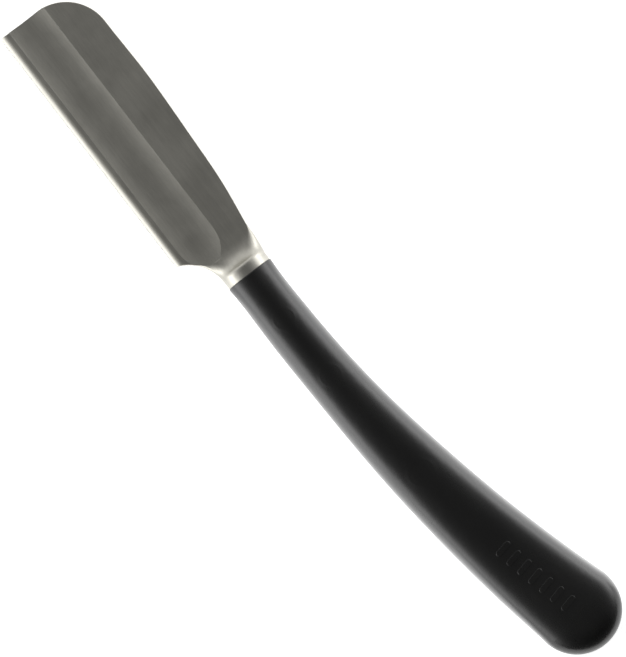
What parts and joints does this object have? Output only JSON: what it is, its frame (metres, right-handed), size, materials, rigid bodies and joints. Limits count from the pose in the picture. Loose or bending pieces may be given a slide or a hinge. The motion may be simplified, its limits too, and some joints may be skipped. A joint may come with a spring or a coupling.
{
  "type": "styling razor",
  "caption": "Hair-styling razor lying on its side: steel blade holder with a hollowed face and a slide-in replaceable blade, on a curved black moulded handle.",
  "frame": {"origin": "under the middle of the razor's box, on the surface it lies on: the razor lies on its side, and the lowest point is under the bulb of the handle", "axes": "+X from the holder's tip end to the handle's round end, along the straight lip; +Y from the cutting edge to the spine; +Z out of the front face"},
  "size_m": [0.187, 0.0343, 0.0154],
  "materials": {
    "holder_steel": "satin",
    "blade_steel": "polished",
    "backing_steel": "satin",
    "spring_steel": "satin",
    "tang_steel": "mill",
    "pin_steel": "ground",
    "handle_plastic": "satin moulded"
  },
  "bodies": {
    "razor": {"front_cheek": "holder_steel", "rear_cheek": "holder_steel", "blade_spring": "spring_steel", "tang": "tang_steel", "cheek_dowels": "pin_steel", "neck_pin": "pin_steel", "tang_pins": "pin_steel", "front_handle_shell": "handle_plastic", "rear_handle_shell": "handle_plastic"},
    "blade_cartridge": {"blade": "blade_steel", "blade_backing": "backing_steel"}
  },
  "joints": [
    {"name": "blade_slide", "type": "slide", "parent": "razor", "child": "blade_cartridge", "axis": [-1, 0, 0], "range_m": [0, 0.064]}
  ]
}
